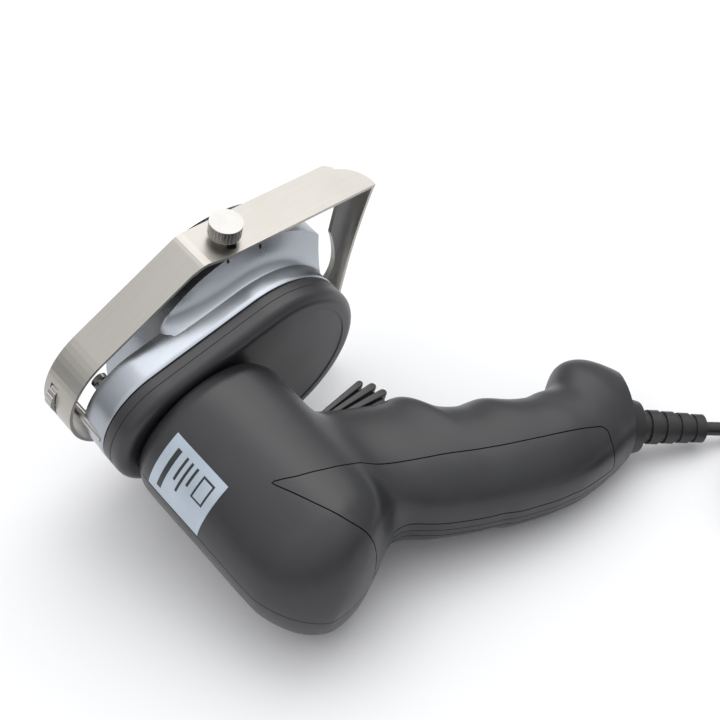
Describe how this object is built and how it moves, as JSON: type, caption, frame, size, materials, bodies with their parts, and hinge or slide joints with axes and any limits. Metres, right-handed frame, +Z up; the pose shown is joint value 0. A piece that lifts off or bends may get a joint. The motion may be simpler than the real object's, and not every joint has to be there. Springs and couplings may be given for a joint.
{
  "type": "electric meat slicer",
  "caption": "Handheld electric slicer for roast meat: round blade, sliding thickness guard, gear head, motor housing, pistol handle with trigger and a mains lead.",
  "frame": {"origin": "middle of the box of the tool without its lead, at table level", "axes": "+Z up from the table the tool lies on, +X from the blade head towards the handle butt, +Y roughly the way the blade faces"},
  "size_m": [0.2822, 0.3079, 0.1291],
  "materials": {
    "steel": "ground and brushed",
    "blade_steel": "fine ground",
    "guard_steel": "brushed along its length",
    "cast": "polished casting",
    "black_plastic": "fine spark texture",
    "panel_plastic": "satin",
    "trigger_plastic": "glossy",
    "inner_plastic": "moulded",
    "winding": "enamelled copper",
    "brass": "pressed",
    "laminate": "varnished laminations",
    "carbon": "carbon",
    "label": "printed film",
    "lead": "smooth flexible sheath",
    "relief": "satin",
    "pin_metal": "nickel plated"
  },
  "bodies": {
    "frame": {"spindle_bearing_front": "steel", "spindle_bearing_rear": "steel", "motor_bearing_front": "steel", "motor_bearing_rear": "steel", "rear_bearing_carrier": "inner_plastic", "stator_core": "laminate", "field_coils": "winding", "brush_holders": "brass", "carbon_brushes": "carbon", "gear_case": "cast", "gear_cover": "black_plastic", "cover_screws": "steel", "adjuster_stud": "steel", "housing_right": "black_plastic", "housing_left": "black_plastic", "grip_panel_right": "panel_plastic", "grip_panel_left": "panel_plastic", "housing_screws": "steel", "rating_label": "label", "trigger_pin": "steel", "switch_module": "inner_plastic", "cord_clamp": "inner_plastic", "clamp_screws": "steel", "strain_relief": "relief", "lead_cord": "lead", "lead_tail": "lead", "lead_coil": "lead", "plug_body": "relief", "plug_pins": "pin_metal"},
    "blade_unit": {"blade": "blade_steel", "blade_hub": "steel", "blade_screws": "steel", "blade_spindle": "steel", "driven_gear": "steel"},
    "rotor": {"motor_pinion": "steel", "armature_shaft": "steel", "rotor_core": "laminate", "rotor_windings": "winding", "commutator": "brass", "cooling_fan": "inner_plastic"},
    "guard": {"guard_band": "guard_steel", "guide_plate": "guard_steel"},
    "adjuster": {"adjuster_wheel": "steel"},
    "right_lock": {"side_screw_right": "steel"},
    "left_lock": {"side_screw_left": "steel"},
    "trigger": {"trigger": "trigger_plastic"},
    "plunger": {"switch_plunger": "trigger_plastic"}
  },
  "joints": [
    {"name": "blade_spin", "type": "hinge", "parent": "frame", "child": "blade_unit", "pos_m": [-0.026, 0.0743, 0.0674], "axis": [0.0151, 0.9542, 0.2987], "continuous": true},
    {"name": "motor_spin", "type": "hinge", "parent": "frame", "child": "rotor", "pos_m": [-0.07031, -0.01158, 0.0427], "axis": [0.0151, 0.9542, 0.2987], "continuous": true},
    {"name": "guard_slide", "type": "slide", "parent": "frame", "child": "guard", "axis": [0.0151, 0.9542, 0.2987], "range_m": [-0.0035, 0.0045]},
    {"name": "adjuster_turn", "type": "hinge", "parent": "guard", "child": "adjuster", "pos_m": [-0.10448, 0.06905, 0.06973], "axis": [0.0151, 0.9542, 0.2987], "range_deg": [-1575, 2025]},
    {"name": "right_lock_turn", "type": "hinge", "parent": "frame", "child": "right_lock", "pos_m": [-0.03326, 0.04586, 0.1218], "axis": [0.0483, -0.299, 0.953], "range_deg": [0, 360]},
    {"name": "left_lock_turn", "type": "hinge", "parent": "frame", "child": "left_lock", "pos_m": [-0.03905, 0.08175, 0.00744], "axis": [-0.0483, 0.299, -0.953], "range_deg": [0, 360]},
    {"name": "trigger_press", "type": "hinge", "parent": "frame", "child": "trigger", "pos_m": [-0.0332, -0.00204, 0.04381], "axis": [-0.0483, 0.299, -0.953], "range_deg": [0, 9], "stiffness_Nm_per_rad": 0.3, "springref_deg": -8.59},
    {"name": "plunger_slide", "type": "slide", "parent": "frame", "child": "plunger", "axis": [-0.0151, -0.9542, -0.2987], "range_m": [0, 0.0036]}
  ],
  "couplings": [
    {"joint": "motor_spin", "follows": "blade_spin", "ratio": -6.1667},
    {"joint": "adjuster_turn", "follows": "guard_slide", "rad_per_m": 7854},
    {"joint": "plunger_slide", "follows": "trigger_press", "m_per_rad": 0.0225}
  ]
}
